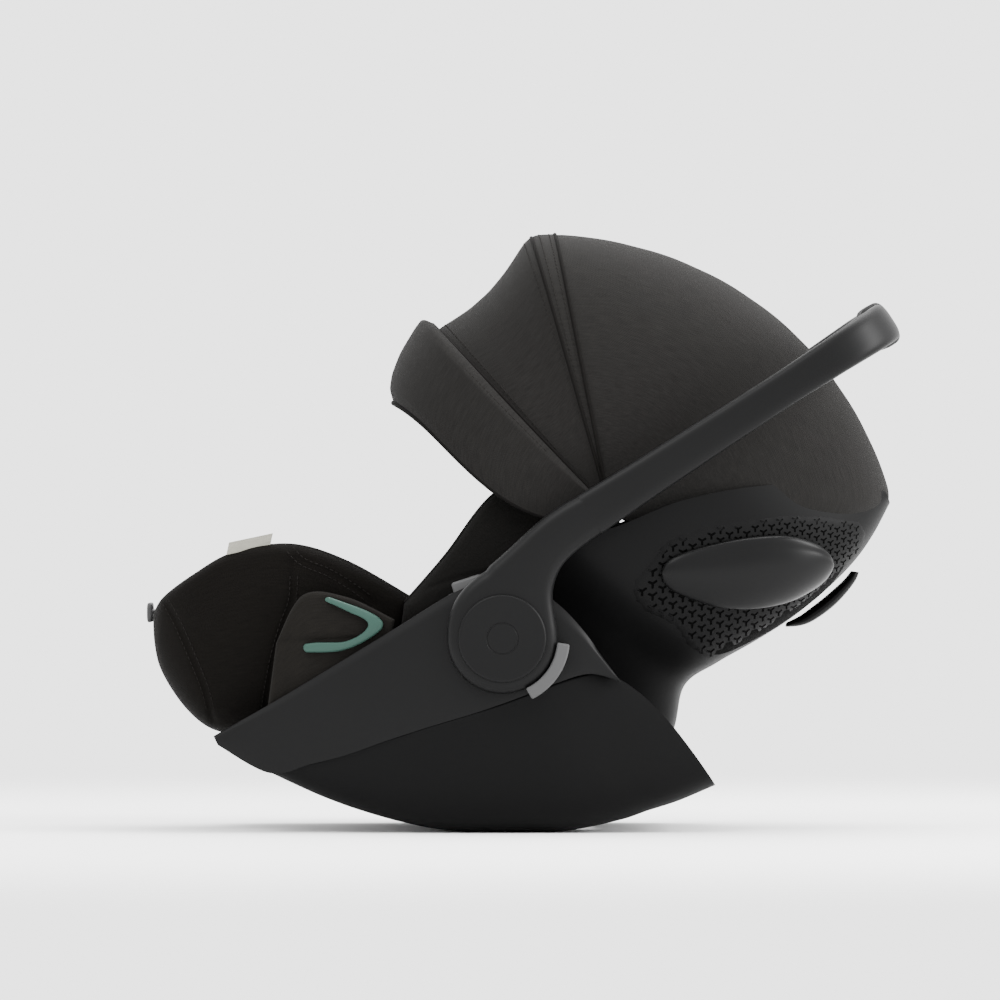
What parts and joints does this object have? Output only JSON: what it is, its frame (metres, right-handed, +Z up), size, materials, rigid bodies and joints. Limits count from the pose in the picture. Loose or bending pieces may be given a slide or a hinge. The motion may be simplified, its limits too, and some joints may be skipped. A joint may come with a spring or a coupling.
{
  "type": "infant car seat",
  "caption": "Rocker-bottomed infant carrier with a swinging handle, fan canopy, reclining padded back and belt guides.",
  "frame": {"origin": "on the floor, below the middle of the seat's length and width", "axes": "+X towards the head end, +Y towards the right-hand side of a child in the seat facing the foot end, +Z up"},
  "size_m": [0.6898, 0.4414, 0.5453],
  "materials": {
    "shell_plastic": "fine moulded grain, satin",
    "dark_plastic": "fine moulded grain, matte",
    "grey_plastic": "smooth satin",
    "teal_plastic": "smooth satin",
    "red_plastic": "smooth satin",
    "steel": "zinc plated",
    "seat_fabric": "plain woven",
    "inlay_fabric": "soft jersey",
    "canopy_fabric": "plain woven, stretched",
    "webbing": "ribbed webbing",
    "label_fabric": "woven tape"
  },
  "bodies": {
    "base": {"rocker_base": "dark_plastic", "lock_bar_front": "steel", "lock_bar_rear": "steel", "dock_rail_left": "steel", "dock_rail_right": "steel", "side_panel_left": "shell_plastic", "side_panel_right": "shell_plastic", "seat_tub": "dark_plastic", "hub_axle_left": "steel", "hub_axle_right": "steel", "release_housing_left": "dark_plastic", "release_housing_right": "dark_plastic", "belt_guide_housing_left": "dark_plastic", "belt_guide_housing_right": "dark_plastic", "belt_guide_left": "teal_plastic", "belt_guide_right": "teal_plastic", "recline_pin_left": "steel", "recline_pin_right": "steel", "seat_cushion": "inlay_fabric", "buckle": "dark_plastic", "crotch_strap": "webbing", "harness_adjuster": "dark_plastic"},
    "handle": {"handle_root_left": "shell_plastic", "handle_root_right": "shell_plastic", "hub_cap_left": "shell_plastic", "hub_cap_right": "shell_plastic", "handle_bow": "shell_plastic", "handle_grip": "dark_plastic"},
    "handle_button_left": {"handle_button_left": "grey_plastic"},
    "handle_button_right": {"handle_button_right": "grey_plastic"},
    "release_button_left": {"release_button_left": "grey_plastic"},
    "release_button_right": {"release_button_right": "grey_plastic"},
    "leg_rest": {"leg_rest_cover": "seat_fabric", "fabric_label": "label_fabric"},
    "foot_lever": {"foot_lever": "grey_plastic"},
    "buckle_button": {"buckle_button": "red_plastic"},
    "adjuster_button": {"adjuster_button": "grey_plastic"},
    "back": {"back_shell": "shell_plastic", "back_cushion": "inlay_fabric", "canopy_rear_panel": "canopy_fabric", "vent_panel_left": "dark_plastic", "vent_panel_right": "dark_plastic", "side_wing_left": "seat_fabric", "side_wing_right": "seat_fabric", "shoulder_pad_left": "inlay_fabric", "shoulder_pad_right": "inlay_fabric", "shoulder_strap_left": "webbing", "shoulder_strap_right": "webbing", "canopy_pivot_left": "dark_plastic", "canopy_pivot_right": "dark_plastic"},
    "headrest": {"headrest": "inlay_fabric"},
    "impact_pod_left": {"impact_pod_left": "shell_plastic"},
    "impact_pod_right": {"impact_pod_right": "shell_plastic"},
    "rear_lever": {"rear_release_lever": "dark_plastic"},
    "canopy_front": {"canopy_front_panel": "canopy_fabric", "canopy_mid_bow": "steel"},
    "visor": {"canopy_visor": "canopy_fabric", "canopy_visor_bow": "steel"}
  },
  "joints": [
    {"name": "handle_hinge", "type": "hinge", "parent": "base", "child": "handle", "pos_m": [-0.0167, 0, 0.1765], "axis": [0, 1, 0], "range_deg": [-60, 56]},
    {"name": "handle_button_left_press", "type": "slide", "parent": "handle", "child": "handle_button_left", "axis": [0, 1, 0], "range_m": [0, 0.004], "stiffness_N_per_m": 400},
    {"name": "handle_button_right_press", "type": "slide", "parent": "handle", "child": "handle_button_right", "axis": [0, -1, 0], "range_m": [0, 0.004], "stiffness_N_per_m": 400},
    {"name": "release_button_left_press", "type": "slide", "parent": "base", "child": "release_button_left", "axis": [0.309, 0, -0.9511], "range_m": [0, 0.004], "stiffness_N_per_m": 400},
    {"name": "release_button_right_press", "type": "slide", "parent": "base", "child": "release_button_right", "axis": [0.309, 0, -0.9511], "range_m": [0, 0.004], "stiffness_N_per_m": 400},
    {"name": "buckle_button_press", "type": "slide", "parent": "base", "child": "buckle_button", "axis": [0.4695, 0, -0.8829], "range_m": [0, 0.004], "stiffness_N_per_m": 400},
    {"name": "adjuster_button_press", "type": "slide", "parent": "base", "child": "adjuster_button", "axis": [-0.6157, 0, -0.788], "range_m": [0, 0.004], "stiffness_N_per_m": 400},
    {"name": "recline_hinge", "type": "hinge", "parent": "base", "child": "back", "pos_m": [0.064, 0, 0.1265], "axis": [0, 1, 0], "range_deg": [0, 15]},
    {"name": "leg_rest_hinge", "type": "hinge", "parent": "base", "child": "leg_rest", "pos_m": [-0.12, 0, 0.15], "axis": [0, 1, 0], "range_deg": [0, 10]},
    {"name": "foot_lever_pull", "type": "slide", "parent": "leg_rest", "child": "foot_lever", "axis": [-1, 0, 0], "range_m": [0, 0.006], "stiffness_N_per_m": 400},
    {"name": "headrest_slide", "type": "slide", "parent": "back", "child": "headrest", "axis": [0.7254, 0, 0.6884], "range_m": [0, 0.05]},
    {"name": "impact_pod_left_hinge", "type": "hinge", "parent": "back", "child": "impact_pod_left", "pos_m": [0.1263, -0.1882, 0.234], "axis": [0, 0, -1], "range_deg": [0, 30]},
    {"name": "impact_pod_right_hinge", "type": "hinge", "parent": "back", "child": "impact_pod_right", "pos_m": [0.1263, 0.1882, 0.234], "axis": [0, 0, 1], "range_deg": [0, 30]},
    {"name": "rear_lever_squeeze", "type": "hinge", "parent": "back", "child": "rear_lever", "pos_m": [0.25, 0, 0.1875], "axis": [0, 1, 0], "range_deg": [-2.5, 0], "stiffness_Nm_per_rad": 3},
    {"name": "canopy_hinge", "type": "hinge", "parent": "back", "child": "canopy_front", "pos_m": [0.0805, 0, 0.292], "axis": [0, 1, 0], "range_deg": [0, 90]},
    {"name": "visor_hinge", "type": "hinge", "parent": "canopy_front", "child": "visor", "pos_m": [0.0805, 0, 0.292], "axis": [0, 1, 0], "range_deg": [0, 16]}
  ],
  "couplings": [
    {"joint": "leg_rest_hinge", "follows": "recline_hinge", "ratio": 0.6667}
  ]
}
